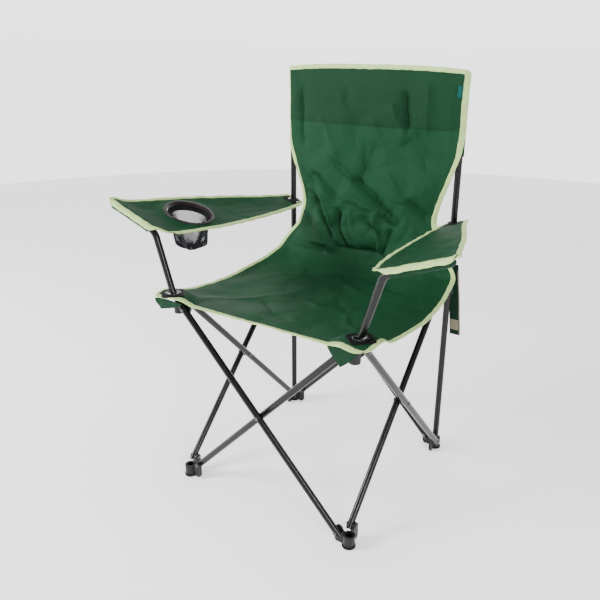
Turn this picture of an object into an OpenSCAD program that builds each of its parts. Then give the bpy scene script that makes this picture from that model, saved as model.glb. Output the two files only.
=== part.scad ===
// Folding camp chair: four hubs at the floor, four scissor pairs of steel tube,
// two sliders on upright rear posts, and a fabric sling with two armrests.
// Millimetres, +X to the sitter's left, +Y to the back, +Z up, floor at z = 0.

/* [Frame] */
// Spacing of the foot hubs, both across and front to back
span = 450; // [440:1:470]
// Outer diameter of every steel tube
tube_d = 15; // [14:0.5:16]
// Wall thickness of the steel tubes
tube_wall = 1; // [0.8:0.1:1.5]
// Height of the lower pivots above the floor
pivot_low = 33; // [32:1:36]
// Height of the upper pivots with the chair open
pivot_high = 447; // [435:1:455]
// Distance of each pivot from the middle of its hub
pivot_in = 25; // [25:1:30]
// Straight tubes run this far past their end pivots
tube_end = 10; // [9:0.5:12]
// Height of the top of the rear posts
post_top = 922; // [900:1:940]

/* [Arm posts] */
// Distance from the upper pivot to the bend at the seat corner
seat_bend_at = 42; // [40:1:46]
// Angle of the bend at the seat corner
seat_bend = 26.4; // [20:0.1:30]
// Distance between the seat bend and the armrest bend
arm_post_len = 141; // [130:1:150]
// Angle of the bend under the armrest
arm_bend = 52.2; // [45:0.1:60]
// Distance from the armrest bend to the tube's tip
arm_tip_len = 131; // [120:1:140]

/* [Hubs] */
// Thickness of the hub wings that carry the pivots
wing_t = 6.5; // [6:0.1:7]
// Outer diameter of the foot cups
cup_d = 26; // [25:0.5:26.5]
// Height of the foot cups
cup_h = 28; // [24:1:28]
// Thickness of the floor of the foot cups
cup_floor = 4; // [3:0.5:6]
// Diameter of the rivet shanks
rivet_d = 5; // [4:0.1:5.5]

/* [Sling] */
// Thickness of the fabric solids
cloth = 3; // [2:0.5:4]
// Half width of the back at its top
back_half = 232; // [225:1:236]
// Half width of the back at its waist
waist_half = 184; // [175:1:195]
// Height of the waist
waist_z = 603; // [590:1:615]
// Top of the back fabric
back_top = 936; // [925:1:945]
// Lower end of the pocket sleeves on the rear posts
pocket_z = 757; // [740:1:770]
// Height of the fold line between the back and the seat
seam_z = 482; // [475:1:490]
// Distance of that fold line behind the middle of the chair
seam_y = 196; // [185:1:205]
// Height of the fabric at the front corners
corner_z = 477; // [470:1:480]

/* [Armrests] */
// Height of the armrest rings on the rear posts
ring_z = 603; // [595:1:610]
// Sideways slope of the armrests
arm_slope = 0.315; // [0.2:0.005:0.4]
// Outer diameter of the cup holder's rim
cup_rim_d = 120; // [110:1:124]
// Depth of the net pouch of the cup holder
pouch_h = 92; // [60:1:110]

/* [Hidden] */
$fn = 48;
a = span / 2;
off = tube_d / 2 + wing_t / 2 + 0.3;
dx = a - pivot_in;
rise = pivot_high - pivot_low;
len_x = sqrt(4 * dx * dx + rise * rise);
lean = atan(2 * dx / rise);
tr = tube_d / 2;
hole_r = rivet_d / 2 + 0.05;
// moves the whole chair so that the middle of its box is the origin
shift_y = 12.2;
// armrest fabric height at a distance from the middle
function arm_z(x) = ring_z + arm_slope * (x - a);
// the seat's height from front to back: [y, z]
seat_line = [
  [-257, 468], [-246, 460], [-190, 452], [-120, 445], [-40, 439],
  [40, 437], [73, 438], [110, 441], [150, 449], [180, 464], [196, 482]
];
seat_y0 = -257;
split_y = 73;
function seat_z(y) = lookup(y, seat_line);

// ---------------------------------------------------------------- placing

// puts a child drawn for the front right corner, or the front plane, at corner i
// (0 front right, 1 rear right, 2 rear left, 3 front left)
module corner(i) {
  translate([0, shift_y, 0])
    rotate([0, 0, 90 * i])
      children();
}

module moved() {
  translate([0, shift_y, 0])
    children();
}

// ---------------------------------------------------------------- hubs

// wing plate in the front plane, pivot at pivot_in from the hub's middle
module wing(z0, z1) {
  translate([0, wing_t / 2, 0])
    rotate([90, 0, 0])
      linear_extrude(height = wing_t)
        difference() {
          union() {
            translate([-pivot_in, z1])
              circle(r = 9);
            polygon([
              [-6, z0], [-pivot_in - 5, z0], [-pivot_in - 9, z0 + 7],
              [-pivot_in - 9, z1], [-pivot_in + 9, z1], [-6, z1 - 8]
            ]);
          }
          translate([-pivot_in, z1])
            circle(r = hole_r);
        }
}

// foot: open cup with two wings, one towards -X and one towards +Y
module foot_hub() {
  translate([a, -a, 0])
    difference() {
      union() {
        cylinder(d = cup_d, h = cup_h);
        cylinder(d = cup_d + 4, h = 3.5);
        wing(1.5, pivot_low);
        rotate([0, 0, -90])
          wing(1.5, pivot_low);
      }
      translate([0, 0, cup_floor])
        cylinder(r = tr + 0.06, h = cup_h + 20);
    }
}

// upper hub: boss with two wings; the rear ones are bored for the posts
module top_hub(bored) {
  translate([a, -a, pivot_high])
    difference() {
      union() {
        translate([0, 0, -16])
          cylinder(r = 11.5, h = 22);
        wing(-13, 0);
        rotate([0, 0, -90])
          wing(-13, 0);
      }
      if (bored)
        translate([0, 0, -30])
          cylinder(r = tr + 0.07, h = 60);
      else
        translate([0, 0, -20])
          cylinder(r = tr + 0.06, h = 22);
    }
}

// ---------------------------------------------------------------- rivets

// rivet along -Y through a tube at y = tube_y and the wing at y = 0
// (s = 1: the tube is on the -Y side of the wing)
module pivot_rivet(s) {
  mirror([0, s > 0 ? 0 : 1, 0]) {
    translate([0, wing_t / 2 + 1.6, 0])
      rotate([90, 0, 0])
        cylinder(d = rivet_d, h = wing_t / 2 + 1.6 + off + tr + 1.2);
    translate([0, -off - tr - 0.05, 0])
      rotate([90, 0, 0])
        rotate_extrude()
          polygon([[0, 0], [4.6, 0], [4.3, 0.9], [3.2, 1.6], [0, 2]]);
    translate([0, wing_t / 2 + 1.8, 0])
      rotate([90, 0, 0])
        rotate_extrude()
          polygon([[0, 0], [3.6, 0.2], [4.2, 0.7], [4.2, 1.8], [0, 1.8]]);
  }
}

// the two rivets of the hub at corner 0, at height z.
// side: 1 where the tube in the -X wing is outside, -1 where it is inside
module rivet_pair(z, side) {
  translate([a - pivot_in, -a, z])
    pivot_rivet(side);
  translate([a, -a + pivot_in, z])
    rotate([0, 0, -90])
      pivot_rivet(side);
}

// rivet through both tubes at the crossing in the front plane
module cross_rivet() {
  translate([0, -a, (pivot_low + pivot_high) / 2]) {
    translate([0, off + tr + 1.2, 0])
      rotate([90, 0, 0])
        cylinder(d = rivet_d, h = 2 * (off + tr + 1.2));
    for (s = [0, 1])
      mirror([0, s, 0])
        translate([0, -off - tr - 0.05, 0])
          rotate([90, 0, 0])
            rotate_extrude()
              polygon([[0, 0], [4.6, 0], [4.3, 0.9], [3.2, 1.6], [0, 2]]);
  }
}

module cross_spacer() {
  t = 2 * (off - tr) - 0.1;
  translate([0, -a + t / 2, (pivot_low + pivot_high) / 2])
    rotate([90, 0, 0])
      difference() {
        cylinder(r = 6.5, h = t);
        translate([0, 0, -1])
          cylinder(r = rivet_d / 2 + 0.02, h = t + 2);
      }
}

// ---------------------------------------------------------------- tubes

// a bend is 0.05 mm thicker than the straight tube, inside and out, and laps its ends
bulge = 0.05;
lap = 1;

// bent run of tube: segs are [length, bend angle, bend radius]
module run(segs, i = 0) {
  extra = segs[i][1] != 0 ? 2 * lap : lap;
  translate([0, 0, -lap])
    difference() {
      cylinder(r = tr, h = segs[i][0] + extra);
      translate([0, 0, -1])
        cylinder(r = tr - tube_wall, h = segs[i][0] + extra + 2);
    }
  if (segs[i][1] != 0)
    translate([0, 0, segs[i][0]])
      bend(segs[i][1], segs[i][2])
        run(segs, i + 1);
}

// a bend by t degrees with radius k, towards +X for a positive angle, then its children
module bend(t, k) {
  m = t > 0 ? 1 : 0;
  mirror([m, 0, 0])
    translate([-k, 0, 0]) {
      rotate([90, 0, 0])
        rotate_extrude(angle = abs(t))
          translate([k, 0])
            difference() {
              circle(r = tr + bulge);
              circle(r = tr - tube_wall - bulge);
            }
      rotate([0, -abs(t), 0])
        translate([k, 0, 0])
          mirror([m, 0, 0])
            children();
    }
}

module cross_holes() {
  for (z = [0, len_x / 2, len_x])
    translate([0, 20, z])
      rotate([90, 0, 0])
        cylinder(r = hole_r, h = 40);
}

// places a tube of the front plane: s = 1 outer, -1 inner
module lay(s) {
  translate([s * dx, -a - s * off, pivot_low])
    rotate([0, -s * lean, 0])
      children();
}

module straight_tube(s) {
  lay(s)
    difference() {
      translate([0, 0, -tube_end])
        cylinder(r = tr, h = len_x + 2 * tube_end);
      translate([0, 0, -tube_end + 1.5])
        cylinder(r = tr - tube_wall, h = len_x + 2 * tube_end - 3);
      cross_holes();
    }
}

// the bends' tangent lengths
r_seat = 40;
r_arm = 30;
tan_seat = r_seat * tan(seat_bend / 2);
tan_arm = r_arm * tan(arm_bend / 2);
first_run = len_x + seat_bend_at - tan_seat;

// straight leg first, with its closed end and cross holes, then the two bends
module bent_tube(s) {
  lay(s) {
    difference() {
      translate([0, 0, -tube_end])
        cylinder(r = tr, h = first_run + tube_end + lap);
      translate([0, 0, -tube_end + 1.5])
        cylinder(r = tr - tube_wall, h = first_run + tube_end + 2 * lap);
      cross_holes();
    }
    mirror([s > 0 ? 0 : 1, 0, 0])
      translate([0, 0, first_run])
        bend(seat_bend, r_seat)
          run([
            [arm_post_len - tan_seat - tan_arm, -arm_bend, r_arm],
            [arm_tip_len - tan_arm, 0, 0]
          ]);
  }
}

// frame of the armrest bend: origin at the bend's corner, +Z along the tip
module at_tip(s) {
  lay(s)
    mirror([s > 0 ? 0 : 1, 0, 0])
      translate([0, 0, len_x + seat_bend_at])
        rotate([0, seat_bend, 0])
          translate([0, 0, arm_post_len])
            rotate([0, -arm_bend, 0])
              children();
}

// frame of the arm post: origin at the seat bend's corner, +Z up the post
module at_post(s) {
  lay(s)
    mirror([s > 0 ? 0 : 1, 0, 0])
      translate([0, 0, len_x + seat_bend_at])
        rotate([0, seat_bend, 0])
          children();
}

module tip_cap(s) {
  at_tip(s) {
    translate([0, 0, arm_tip_len])
      cylinder(r = tr, h = 1.6);
    translate([0, 0, arm_tip_len - 12])
      cylinder(r = tr - tube_wall - 0.05, h = 12);
  }
}

module rear_post() {
  translate([a, -a, cup_floor + 0.02])
    difference() {
      cylinder(r = tr, h = post_top - cup_floor);
      translate([0, 0, 1.5])
        cylinder(r = tr - tube_wall, h = post_top);
    }
}

module post_cap() {
  translate([a, -a, post_top + 0.04]) {
    rotate_extrude()
      polygon([[0, 0], [tr, 0], [tr, 2.5], [tr - 1.5, 4], [0, 4]]);
    translate([0, 0, -12])
      cylinder(r = tr - tube_wall - 0.05, h = 12);
  }
}

// ---------------------------------------------------------------- sling

// side profile of the back, from the top down to the fold line: [y, z]
back_line = [
  for (i = [0:12])
    let (t = i / 12, z = back_top - 4 - t * (back_top - 4 - seam_z - 2))
    [206 - 34 * pow(max(0, (t - 0.1) / 0.9), 1.2) + 24 * pow(max(0, t - 0.8) / 0.2, 2), z]
];

// front outline of the back: [half width, z]
back_edge = [
  [back_half - 12, back_top], [back_half - 10, 880], [back_half - 11, 800],
  [back_half - 15, pocket_z], [208, 700], [191, 650], [waist_half, waist_z + 8],
  [waist_half + 5, 582], [201, 550], [223, 523], [244, 495], [252, seam_z - 4]
];

module back_solid() {
  intersection() {
    translate([-260, 0, 0])
      rotate([90, 0, 90])
        linear_extrude(height = 520)
          polygon(concat(
            [for (p = back_line) [p[0] - cloth / 2, p[1]]],
            [for (i = [len(back_line) - 1:-1:0]) [back_line[i][0] + cloth / 2, back_line[i][1]]]
          ));
    translate([0, 400, 0])
      rotate([90, 0, 0])
        linear_extrude(height = 500)
          polygon(concat(
            [for (p = back_edge) [p[0], p[1]]],
            [for (i = [len(back_edge) - 1:-1:0]) [-back_edge[i][0], back_edge[i][1]]]
          ));
  }
}

// plan outline of the whole seat: [half width, y]
seat_edge = [
  [120, -243], [200, -249], [238, -257], [254, -250], [256, -200],
  [266, -137], [267, 0], [263, 80], [257, 150], [252, seam_y]
];

// a stretch of the seat, from y0 to y1
module seat_solid(y0, y1) {
  line = concat(
    [[y0, seat_z(y0)]],
    [for (p = seat_line) if (p[0] > y0 + 1 && p[0] < y1 - 1) p],
    [[y1, seat_z(y1)]]
  );
  intersection() {
    translate([-280, 0, 0])
      rotate([90, 0, 90])
        linear_extrude(height = 560)
          polygon(concat(
            [for (p = line) [p[0], p[1] - cloth / 2]],
            [for (i = [len(line) - 1:-1:0]) [line[i][0], line[i][1] + cloth / 2]]
          ));
    linear_extrude(height = 700)
      polygon(concat(
        [for (p = seat_edge) p],
        [for (i = [len(seat_edge) - 1:-1:0]) [-seat_edge[i][0], seat_edge[i][1]]]
      ));
  }
}

// the front corners rise to the patches: a flat tray over each hub
module corner_tray(s) {
  m = s > 0 ? -1 : 1;
  translate([m * 230, -a - s * off, corner_z])
    children();
}

module seat_front_solid() {
  difference() {
    seat_solid(seat_y0, split_y);
    for (s = [-1, 1]) {
      m = s > 0 ? -1 : 1;
      translate([m * 227, -a + 2, 400])
        cylinder(r = 47, h = 100);
    }
  }
}

// woven reinforcement, a square set cornerwise, with the eyelet's hole
module corner_patch(s) {
  corner_tray(s)
    difference() {
      rotate([0, 0, 45])
        translate([-24, -24, 0])
          cube([48, 48, 2]);
      translate([0, 0, -1])
        cylinder(r = 15.1, h = 4);
    }
}

module corner_eyelet(s) {
  corner_tray(s)
    rotate_extrude()
      polygon([[12.3, -1], [15, -1], [15, 2.1], [17, 2.1], [17, 2.9], [15.5, 3.6], [12.3, 3.6]]);
}

// fabric flap that wraps the corner under the patch
module corner_flap(s) {
  corner_tray(s)
    difference() {
      translate([0, 0, -4.3])
        cylinder(r = 31, h = cloth);
      translate([0, 0, -5])
        cylinder(r = 16.5, h = 5);
    }
}

module pocket() {
  translate([a, -a, 0])
    difference() {
      translate([0, 0, pocket_z])
        cylinder(r = tr + 2.5, h = back_top - pocket_z);
      translate([0, 0, pocket_z - 1])
        cylinder(r = tr + 0.5, h = post_top + 6 - pocket_z + 1);
    }
}

// ---------------------------------------------------------------- armrests

// plan outline of an armrest on the right-hand side
function arm_outline(front) = [
  [238, front], [320, front], [400, front], [378, -130], [345, -22],
  [300, 100], [262, 205], [256, 236], [214, 240], [196, 222],
  [195, 150], [196, 60], [202, -20], [208, -80], [224, -160]
];

// the armrest's flat sheet, tilted outwards about the line through the rear ring
module arm_slab(front) {
  translate([a, 0, ring_z])
    rotate([0, -atan(arm_slope), 0])
      translate([0, 0, -cloth / 2])
        linear_extrude(height = cloth)
          polygon([
            for (p = arm_outline(front))
              [(p[0] - a) / cos(atan(arm_slope)), p[1]]
          ]);
}

cup_x = 291;
cup_y = -107;

module cup_frame() {
  translate([cup_x, cup_y, arm_z(cup_x)])
    rotate([0, -atan(arm_slope), 0])
      children();
}

module armrest(front, with_cup) {
  difference() {
    arm_slab(front);
    translate([a, a, ring_z - 40])
      cylinder(r = 14.4, h = 80);
    if (with_cup)
      cup_frame()
        translate([0, 0, -20])
          cylinder(r = cup_rim_d / 2 - 5, h = 40);
  }
}

module rim() {
  cup_frame()
    rotate_extrude()
      polygon([
        [cup_rim_d / 2 - 8, -7], [cup_rim_d / 2 - 5.3, -7], [cup_rim_d / 2 - 5.3, 1.9],
        [cup_rim_d / 2, 1.9], [cup_rim_d / 2 - 1.2, 3.6], [cup_rim_d / 2 - 5.5, 4.2],
        [cup_rim_d / 2 - 8, 2.6]
      ]);
}

// the pouch hangs straight down from a hem under the tilted rim
module net() {
  cup_frame()
    rotate_extrude()
      polygon([
        [cup_rim_d / 2 - 13.5, -9.2], [cup_rim_d / 2 - 5.5, -9.2],
        [cup_rim_d / 2 - 5.5, -7.02], [cup_rim_d / 2 - 13.5, -7.02]
      ]);
  difference() {
    translate([cup_x, cup_y, arm_z(cup_x)])
      rotate_extrude()
        polygon([
          [0, -pouch_h], [33, -pouch_h], [cup_rim_d / 2 - 12, -24], [cup_rim_d / 2 - 12, 26],
          [cup_rim_d / 2 - 14, 26], [cup_rim_d / 2 - 14, -24], [31, -pouch_h + 2],
          [0, -pouch_h + 2]
        ]);
    cup_frame()
      translate([-100, -100, -8])
        cube([200, 200, 100]);
  }
}

module arm_ring() {
  translate([a, a, ring_z])
    rotate_extrude()
      polygon([
        [tr + 0.5, -3.5], [11, -3.5], [11, -2.2], [14, -2.2],
        [14, 2.2], [11, 2.2], [11, 3.5], [tr + 0.5, 3.5]
      ]);
}

module arm_sleeve(s) {
  at_tip(s)
    difference() {
      translate([0, 0, 20])
        cylinder(r = tr + 2.6, h = arm_tip_len - 20 + 4);
      translate([0, 0, 19])
        cylinder(r = tr + 0.4, h = arm_tip_len - 19 + 2);
    }
}

// ---------------------------------------------------------------- nodes

module foot_fr() { color([0.05, 0.05, 0.055]) corner(0) foot_hub(); }
module foot_rr() { color([0.05, 0.05, 0.055]) corner(1) foot_hub(); }
module foot_rl() { color([0.05, 0.05, 0.055]) corner(2) foot_hub(); }
module foot_fl() { color([0.05, 0.05, 0.055]) corner(3) foot_hub(); }
module foot_rivets_fr() { color([0.2, 0.2, 0.21]) corner(0) rivet_pair(pivot_low, 1); }
module foot_rivets_rr() { color([0.2, 0.2, 0.21]) corner(1) rivet_pair(pivot_low, 1); }
module foot_rivets_rl() { color([0.2, 0.2, 0.21]) corner(2) rivet_pair(pivot_low, 1); }
module foot_rivets_fl() { color([0.2, 0.2, 0.21]) corner(3) rivet_pair(pivot_low, 1); }
module hub_fr() { color([0.05, 0.05, 0.055]) corner(0) top_hub(false); }
module slider_rr() { color([0.05, 0.05, 0.055]) corner(1) top_hub(true); }
module slider_rl() { color([0.05, 0.05, 0.055]) corner(2) top_hub(true); }
module hub_fl() { color([0.05, 0.05, 0.055]) corner(3) top_hub(false); }
module hub_rivets_fr() { color([0.2, 0.2, 0.21]) corner(0) rivet_pair(pivot_high, -1); }
module slider_rivets_rr() { color([0.2, 0.2, 0.21]) corner(1) rivet_pair(pivot_high, -1); }
module slider_rivets_rl() { color([0.2, 0.2, 0.21]) corner(2) rivet_pair(pivot_high, -1); }
module hub_rivets_fl() { color([0.2, 0.2, 0.21]) corner(3) rivet_pair(pivot_high, -1); }
module front_tube_outer() { color([0.08, 0.08, 0.085]) corner(0) bent_tube(1); }
module front_tube_inner() { color([0.08, 0.08, 0.085]) corner(0) bent_tube(-1); }
module right_tube_outer() { color([0.08, 0.08, 0.085]) corner(1) straight_tube(1); }
module right_tube_inner() { color([0.08, 0.08, 0.085]) corner(1) straight_tube(-1); }
module back_tube_outer() { color([0.08, 0.08, 0.085]) corner(2) straight_tube(1); }
module back_tube_inner() { color([0.08, 0.08, 0.085]) corner(2) straight_tube(-1); }
module left_tube_outer() { color([0.08, 0.08, 0.085]) corner(3) straight_tube(1); }
module left_tube_inner() { color([0.08, 0.08, 0.085]) corner(3) straight_tube(-1); }
module rivet_front() { color([0.2, 0.2, 0.21]) corner(0) cross_rivet(); }
module rivet_right() { color([0.2, 0.2, 0.21]) corner(1) cross_rivet(); }
module rivet_back() { color([0.2, 0.2, 0.21]) corner(2) cross_rivet(); }
module rivet_left() { color([0.2, 0.2, 0.21]) corner(3) cross_rivet(); }
module spacer_front() { color([0.06, 0.06, 0.06]) corner(0) cross_spacer(); }
module spacer_right() { color([0.06, 0.06, 0.06]) corner(1) cross_spacer(); }
module spacer_back() { color([0.06, 0.06, 0.06]) corner(2) cross_spacer(); }
module spacer_left() { color([0.06, 0.06, 0.06]) corner(3) cross_spacer(); }
module post_r() { color([0.08, 0.08, 0.085]) corner(1) rear_post(); }
module post_l() { color([0.08, 0.08, 0.085]) corner(2) rear_post(); }
module post_cap_r() { color([0.05, 0.05, 0.055]) corner(1) post_cap(); }
module post_cap_l() { color([0.05, 0.05, 0.055]) corner(2) post_cap(); }
module tip_cap_l() { color([0.05, 0.05, 0.055]) corner(0) tip_cap(1); }
module tip_cap_r() { color([0.05, 0.05, 0.055]) corner(0) tip_cap(-1); }
module back_panel() { color([0.14, 0.35, 0.22]) moved() back_solid(); }
module seat_rear() { color([0.14, 0.35, 0.22]) moved() seat_solid(split_y + 0.4, seam_y); }
module seat_front() { color([0.14, 0.35, 0.22]) moved() seat_front_solid(); }
module pocket_r() { color([0.14, 0.35, 0.22]) corner(1) pocket(); }
module pocket_l() { color([0.14, 0.35, 0.22]) corner(2) pocket(); }
module corner_patch_l() { color([0.07, 0.07, 0.08]) corner(0) corner_patch(1); }
module corner_patch_r() { color([0.07, 0.07, 0.08]) corner(0) corner_patch(-1); }
module corner_eyelet_l() { color([0.3, 0.3, 0.3]) corner(0) corner_eyelet(1); }
module corner_eyelet_r() { color([0.3, 0.3, 0.3]) corner(0) corner_eyelet(-1); }
module corner_flap_l() { color([0.1, 0.28, 0.17]) corner(0) corner_flap(1); }
module corner_flap_r() { color([0.1, 0.28, 0.17]) corner(0) corner_flap(-1); }
module armrest_l() {
  color([0.14, 0.35, 0.22])
    moved()
      mirror([1, 0, 0])
        armrest(-a - off + tr + 3, true);
}
module armrest_r() { color([0.14, 0.35, 0.22]) moved() armrest(-a + off + tr + 3, false); }
module arm_sleeve_l() { color([0.14, 0.35, 0.22]) corner(0) arm_sleeve(1); }
module arm_sleeve_r() { color([0.14, 0.35, 0.22]) corner(0) arm_sleeve(-1); }
module arm_ring_l() { color([0.06, 0.06, 0.06]) moved() mirror([1, 0, 0]) arm_ring(); }
module arm_ring_r() { color([0.06, 0.06, 0.06]) moved() arm_ring(); }
module cup_rim() { color([0.09, 0.07, 0.06]) moved() mirror([1, 0, 0]) rim(); }
module cup_net() { color([0.15, 0.15, 0.16]) moved() mirror([1, 0, 0]) net(); }
module side_tab() {
  color([0.2, 0.55, 0.4])
    moved()
      translate([a - 3, 205, 880])
        cube([11, 1.5, 28]);
}
module hang_strap() {
  color([0.1, 0.3, 0.2])
    moved()
      translate([a - 6, 238.2, 320])
        cube([28, 2, 176]);
}

foot_fr();
foot_rr();
foot_rl();
foot_fl();
foot_rivets_fr();
foot_rivets_rr();
foot_rivets_rl();
foot_rivets_fl();
hub_fr();
slider_rr();
slider_rl();
hub_fl();
hub_rivets_fr();
slider_rivets_rr();
slider_rivets_rl();
hub_rivets_fl();
front_tube_outer();
front_tube_inner();
right_tube_outer();
right_tube_inner();
back_tube_outer();
back_tube_inner();
left_tube_outer();
left_tube_inner();
rivet_front();
rivet_right();
rivet_back();
rivet_left();
spacer_front();
spacer_right();
spacer_back();
spacer_left();
post_r();
post_l();
post_cap_r();
post_cap_l();
tip_cap_l();
tip_cap_r();
back_panel();
seat_rear();
seat_front();
pocket_l();
pocket_r();
corner_patch_l();
corner_patch_r();
corner_eyelet_l();
corner_eyelet_r();
corner_flap_l();
corner_flap_r();
armrest_l();
armrest_r();
arm_sleeve_l();
arm_sleeve_r();
arm_ring_l();
arm_ring_r();
cup_rim();
cup_net();
side_tab();
hang_strap();
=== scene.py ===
import math

import bmesh
import bpy
import numpy as np
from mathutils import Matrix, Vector


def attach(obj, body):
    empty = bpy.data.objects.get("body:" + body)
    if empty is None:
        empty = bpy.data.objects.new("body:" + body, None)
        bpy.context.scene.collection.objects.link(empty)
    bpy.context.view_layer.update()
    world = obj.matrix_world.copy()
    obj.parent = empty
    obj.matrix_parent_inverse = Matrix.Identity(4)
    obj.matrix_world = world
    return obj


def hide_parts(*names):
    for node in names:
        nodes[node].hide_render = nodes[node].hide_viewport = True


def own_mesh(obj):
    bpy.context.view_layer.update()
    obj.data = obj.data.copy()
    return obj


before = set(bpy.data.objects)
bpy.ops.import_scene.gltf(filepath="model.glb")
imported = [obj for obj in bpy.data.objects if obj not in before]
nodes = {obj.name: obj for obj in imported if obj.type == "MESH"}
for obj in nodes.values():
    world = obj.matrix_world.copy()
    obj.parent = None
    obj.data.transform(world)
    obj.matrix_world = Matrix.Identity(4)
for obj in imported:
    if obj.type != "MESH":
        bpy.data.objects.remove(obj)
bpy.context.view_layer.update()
MM = 0.001
SHIFT = 12.2  # the chair's middle sits this far in front of the middle of its hubs
HALF = 225.0  # each rear post stands this far to the side and this far back
SLOPE = 0.315  # rise of the armrests towards their outer edge
RING_Z = 603.0  # height of the armrests at the rear posts
CUP_X, CUP_Y = 291.0, -107.0  # the cup holder's axis, on the left-hand side
CUP_LEAN = math.sqrt(1 + SLOPE ** 2)  # length along the armrest for 1 mm across
TIP_BEND = (271.8, 611.6)  # x and z of the bend where a front tube turns into its armrest
TIP_LEAN = math.radians(44.01 - 26.4 + 52.2)  # of the tube's tip, from upright
CAMERA_AZ, CAMERA_EL = math.radians(34.15), math.radians(21.14)


# ------------------------------------------------------------------ numbers

def hash2(i, j, seed):
    """A fixed scatter of numbers from 0 to 1 over whole i and j."""
    n = (i.astype(np.int64) * 374761393 + j.astype(np.int64) * 668265263
         + seed * 974634777) & 0xFFFFFFFF
    n = ((n ^ (n >> 13)) * 1274126177) & 0xFFFFFFFF
    return ((n ^ (n >> 16)) & 0xFFFFFF) / float(0xFFFFFF)


def perlin(x, y, seed=0):
    """Smooth noise, about -1 to 1."""
    x, y = np.asarray(x, float), np.asarray(y, float)
    i, j = np.floor(x).astype(int), np.floor(y).astype(int)
    fx, fy = x - i, y - j
    sx, sy = fx ** 3 * (fx * (fx * 6 - 15) + 10), fy ** 3 * (fy * (fy * 6 - 15) + 10)
    out = 0
    for a in (0, 1):
        for b in (0, 1):
            g = hash2(i + a, j + b, seed) * 2 * math.pi
            d = np.cos(g) * (fx - a) + np.sin(g) * (fy - b)
            out = out + d * (sx if a else 1 - sx) * (sy if b else 1 - sy)
    return out * 1.5


def wobble(x, y, seed):
    """The same noise at one point."""
    return float(perlin(np.array([x]), np.array([y]), seed)[0])


def cells(x, y, seed=0):
    """Distance to the nearest cell border of a Voronoi pattern."""
    x, y = np.asarray(x, float), np.asarray(y, float)
    i, j = np.floor(x).astype(int), np.floor(y).astype(int)
    f1, f2 = np.full(x.shape, 9.0), np.full(x.shape, 9.0)
    for a in (-1, 0, 1):
        for b in (-1, 0, 1):
            px = i + a + 0.1 + 0.8 * hash2(i + a, j + b, seed)
            py = j + b + 0.1 + 0.8 * hash2(i + a, j + b, seed + 7)
            d = np.hypot(px - x, py - y)
            f2 = np.minimum(f2, np.maximum(d, f1))
            f1 = np.minimum(f1, d)
    return f2 - f1


def smoothstep(a, b, v):
    t = np.clip((np.asarray(v, float) - a) / (b - a), 0, 1)
    return t * t * (3 - 2 * t)


def ridge(x, y, x0, y0, x1, y1, width):
    """1 along a line segment, falling sharply off on both sides."""
    dx, dy = x1 - x0, y1 - y0
    t = ((x - x0) * dx + (y - y0) * dy) / (dx * dx + dy * dy)
    c = np.clip(t, 0, 1)
    d = np.hypot(x - x0 - c * dx, y - y0 - c * dy)
    return np.exp(-(d / width) ** 1.25) * (1 - smoothstep(0.75, 1.15, t)) * smoothstep(-0.2, 0.2, t)


class Curve:
    """Rows of numbers over a first column, joined by a rounded line."""

    def __init__(self, rows, radius):
        rows = np.array(rows, float)
        k = rows[:, 0]
        self.s = np.linspace(k[0] - 60, k[-1] + 60, 1400)
        step = self.s[1] - self.s[0]
        n = max(1, int(radius / step))
        kernel = np.convolve(np.ones(n), np.ones(n))
        kernel /= kernel.sum()
        self.v = []
        for c in range(1, rows.shape[1]):
            v = np.interp(self.s, k, rows[:, c])
            lo, hi = self.s < k[0], self.s > k[-1]
            v[lo] = rows[0, c] + (self.s[lo] - k[0]) * (rows[1, c] - rows[0, c]) / (k[1] - k[0])
            v[hi] = rows[-1, c] + (self.s[hi] - k[-1]) * (rows[-1, c] - rows[-2, c]) / (k[-1] - k[-2])
            pad = len(kernel) // 2
            w = np.concatenate([np.full(pad, v[0]), v, np.full(pad, v[-1])])
            self.v.append(np.convolve(w, kernel, "valid")[: len(v)])

    def __call__(self, s):
        return [np.interp(s, self.s, v) for v in self.v]


# ------------------------------------------------------------------ materials

def lin(r, g, b):
    """A screen colour of 0 to 255 as a linear one."""
    def f(c):
        c /= 255
        return c / 12.92 if c < 0.04045 else ((c + 0.055) / 1.055) ** 2.4
    return (f(r), f(g), f(b), 1)


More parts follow.
